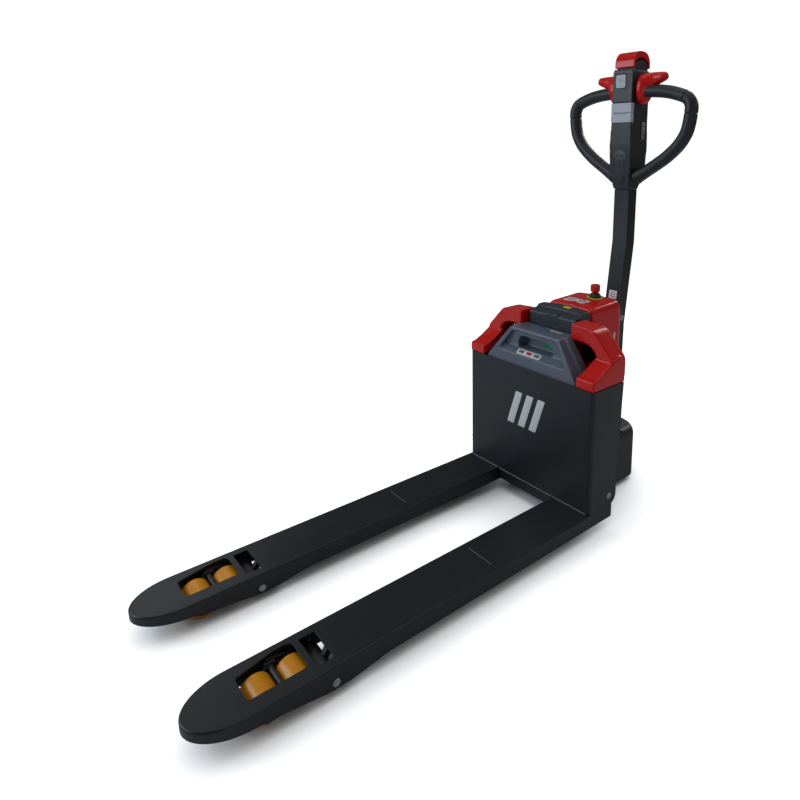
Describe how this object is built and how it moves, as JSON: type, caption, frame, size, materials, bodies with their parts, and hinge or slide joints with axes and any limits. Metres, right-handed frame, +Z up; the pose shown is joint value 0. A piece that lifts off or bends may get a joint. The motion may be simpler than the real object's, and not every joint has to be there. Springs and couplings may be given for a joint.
{
  "type": "electric pallet truck",
  "caption": "Walk-behind electric pallet truck: forks with tandem load rollers on a lifting front frame, lift-out battery, steered drive wheel and tiller with D-shaped grips.",
  "frame": {"origin": "on the floor under the middle of the bounding box", "axes": "+Z up, the forks point along -Y and the operator stands at +Y, +X across the forks to the operator's left when facing the forks"},
  "size_m": [0.55, 1.695, 1.499],
  "materials": {
    "frame_paint": "satin black powder coat with a blue cast",
    "black_paint": "satin black paint",
    "cover_red": "gloss red moulding",
    "case_grey": "fine grained blue-grey moulding",
    "lid_black": "fine grained black moulding",
    "soft_black": "soft black moulding",
    "button_grey": "light grey button plastic",
    "amber_tyre": "cast amber polyurethane",
    "black_tyre": "black polyurethane tread",
    "steel": "bright turned steel",
    "cast_iron": "dark casting",
    "aluminium": "plain motor housing"
  },
  "bodies": {
    "chassis": {"chassis_frame": "black_paint", "lift_cylinder": "black_paint", "pump_motor": "aluminium", "oil_tank": "soft_black", "rear_hood": "cover_red", "stop_collar": "soft_black", "drive_cover": "black_paint", "slewing_ring": "steel"},
    "stop_knob": {"stop_knob": "cover_red"},
    "lift_frame": {"front_housing": "frame_paint", "cross_beam": "frame_paint", "fork_left": "frame_paint", "fork_right": "frame_paint", "fork_pin_left": "steel", "fork_pin_right": "steel", "pivot_bolt_left": "steel", "pivot_bolt_right": "steel", "arm_cover_left": "cover_red", "arm_cover_right": "cover_red", "piston_rod": "steel", "battery_connector": "soft_black"},
    "battery": {"battery_case": "case_grey"},
    "lid": {"battery_lid": "lid_black"},
    "torsion": {"torsion_shaft": "black_paint"},
    "steering": {"drive_yoke": "cast_iron", "drive_gearbox": "cast_iron", "drive_motor": "aluminium", "steering_head": "cast_iron", "tiller_pin": "steel", "return_spring": "steel"},
    "drive_wheel": {"drive_hub": "cast_iron", "drive_tyre": "black_tyre"},
    "tiller": {"tiller_arm": "frame_paint", "arm_rear_cover": "soft_black", "control_head": "soft_black", "grip_loop_left": "soft_black", "grip_loop_right": "soft_black", "tiller_cable": "soft_black"},
    "throttle": {"thumb_wing_left": "cover_red", "thumb_wing_right": "cover_red"},
    "reverse_button": {"reverse_button": "cover_red"},
    "horn_button": {"horn_button": "button_grey"},
    "raise_button": {"raise_button": "button_grey"},
    "lower_button": {"lower_button": "button_grey"},
    "rod_left": {"push_rod_left": "black_paint"},
    "wheel_arm_left": {"wheel_arm_left": "black_paint"},
    "bogie_pin_left": {"bogie_pin_left": "steel"},
    "bogie_left": {"bogie_left": "black_paint", "roller_axle_left_front": "steel", "roller_axle_left_rear": "steel"},
    "roller_left_front": {"load_roller_left_front": "amber_tyre"},
    "roller_left_rear": {"load_roller_left_rear": "amber_tyre"},
    "rod_right": {"push_rod_right": "black_paint"},
    "wheel_arm_right": {"wheel_arm_right": "black_paint"},
    "bogie_pin_right": {"bogie_pin_right": "steel"},
    "bogie_right": {"bogie_right": "black_paint", "roller_axle_right_front": "steel", "roller_axle_right_rear": "steel"},
    "roller_right_front": {"load_roller_right_front": "amber_tyre"},
    "roller_right_rear": {"load_roller_right_rear": "amber_tyre"}
  },
  "joints": [
    {"name": "lift", "type": "slide", "parent": "chassis", "child": "lift_frame", "axis": [0, 0, 1], "range_m": [0, 0.11]},
    {"name": "torsion_turn", "type": "hinge", "parent": "lift_frame", "child": "torsion", "pos_m": [0, 0.4005, 0.113], "axis": [1, 0, 0], "range_deg": [-46.28, 0]},
    {"name": "rod_push_left", "type": "slide", "parent": "lift_frame", "child": "rod_left", "axis": [0, -1, 0], "range_m": [0, 0.03931]},
    {"name": "wheel_arm_swing_left", "type": "hinge", "parent": "lift_frame", "child": "wheel_arm_left", "pos_m": [-0.2, -0.5495, 0.039], "axis": [1, 0, 0], "range_deg": [0, 71.68]},
    {"name": "bogie_level_left", "type": "hinge", "parent": "wheel_arm_left", "child": "bogie_pin_left", "pos_m": [-0.2, -0.6495, 0.061], "axis": [1, 0, 0], "range_deg": [-71.68, 0]},
    {"name": "bogie_rock_left", "type": "hinge", "parent": "bogie_pin_left", "child": "bogie_left", "pos_m": [-0.2, -0.6495, 0.061], "axis": [1, 0, 0], "range_deg": [-4, 4]},
    {"name": "roller_spin_left_front", "type": "hinge", "parent": "bogie_left", "child": "roller_left_front", "pos_m": [-0.2, -0.689, 0.037], "axis": [1, 0, 0], "continuous": true},
    {"name": "roller_spin_left_rear", "type": "hinge", "parent": "bogie_left", "child": "roller_left_rear", "pos_m": [-0.2, -0.61, 0.037], "axis": [1, 0, 0], "continuous": true},
    {"name": "rod_push_right", "type": "slide", "parent": "lift_frame", "child": "rod_right", "axis": [0, -1, 0], "range_m": [0, 0.03931]},
    {"name": "wheel_arm_swing_right", "type": "hinge", "parent": "lift_frame", "child": "wheel_arm_right", "pos_m": [0.2, -0.5495, 0.039], "axis": [1, 0, 0], "range_deg": [0, 71.68]},
    {"name": "bogie_level_right", "type": "hinge", "parent": "wheel_arm_right", "child": "bogie_pin_right", "pos_m": [0.2, -0.6495, 0.061], "axis": [1, 0, 0], "range_deg": [-71.68, 0]},
    {"name": "bogie_rock_right", "type": "hinge", "parent": "bogie_pin_right", "child": "bogie_right", "pos_m": [0.2, -0.6495, 0.061], "axis": [1, 0, 0], "range_deg": [-4, 4]},
    {"name": "roller_spin_right_front", "type": "hinge", "parent": "bogie_right", "child": "roller_right_front", "pos_m": [0.2, -0.689, 0.037], "axis": [1, 0, 0], "continuous": true},
    {"name": "roller_spin_right_rear", "type": "hinge", "parent": "bogie_right", "child": "roller_right_rear", "pos_m": [0.2, -0.61, 0.037], "axis": [1, 0, 0], "continuous": true},
    {"name": "steer", "type": "hinge", "parent": "chassis", "child": "steering", "pos_m": [0, 0.5925, 0.219], "axis": [0, 0, 1], "range_deg": [-90, 90]},
    {"name": "drive_spin", "type": "hinge", "parent": "steering", "child": "drive_wheel", "pos_m": [0, 0.5925, 0.095], "axis": [1, 0, 0], "continuous": true},
    {"name": "tiller_tilt", "type": "hinge", "parent": "steering", "child": "tiller", "pos_m": [0, 0.7265, 0.312], "axis": [-1, 0, 0], "range_deg": [0, 80], "stiffness_Nm_per_rad": 38, "springref_deg": -25.78},
    {"name": "throttle_turn", "type": "hinge", "parent": "tiller", "child": "throttle", "pos_m": [0, 0.7925, 1.366], "axis": [1, 0, 0], "range_deg": [-25, 25], "stiffness_Nm_per_rad": 0.8},
    {"name": "reverse_press", "type": "slide", "parent": "tiller", "child": "reverse_button", "axis": [0, 0, -1], "range_m": [0, 0.007], "stiffness_N_per_m": 900, "springref_m": -0.006},
    {"name": "horn_press", "type": "slide", "parent": "tiller", "child": "horn_button", "axis": [0, 1, 0], "range_m": [0, 0.002], "stiffness_N_per_m": 1200, "springref_m": -0.002},
    {"name": "raise_press", "type": "slide", "parent": "tiller", "child": "raise_button", "axis": [0, 1, 0], "range_m": [0, 0.0015], "stiffness_N_per_m": 1500, "springref_m": -0.0015},
    {"name": "lower_press", "type": "slide", "parent": "tiller", "child": "lower_button", "axis": [0, 1, 0], "range_m": [0, 0.0015], "stiffness_N_per_m": 1500, "springref_m": -0.0015},
    {"name": "stop_press", "type": "slide", "parent": "chassis", "child": "stop_knob", "axis": [0, 0, -1], "range_m": [0, 0.004]},
    {"name": "battery_lift", "type": "slide", "parent": "lift_frame", "child": "battery", "axis": [0, 0, 1], "range_m": [0, 0.25]},
    {"name": "lid_open", "type": "hinge", "parent": "lift_frame", "child": "lid", "pos_m": [0, 0.4945, 0.657], "axis": [-1, 0, 0], "range_deg": [0, 75]}
  ],
  "couplings": [
    {"joint": "torsion_turn", "follows": "lift", "rad_per_m": -7.3407},
    {"joint": "rod_push_left", "follows": "lift", "ratio": 0.35714},
    {"joint": "wheel_arm_swing_left", "follows": "lift", "rad_per_m": 11.37},
    {"joint": "bogie_level_left", "follows": "lift", "rad_per_m": -11.37},
    {"joint": "rod_push_right", "follows": "lift", "ratio": 0.35714},
    {"joint": "wheel_arm_swing_right", "follows": "lift", "rad_per_m": 11.37},
    {"joint": "bogie_level_right", "follows": "lift", "rad_per_m": -11.37}
  ]
}
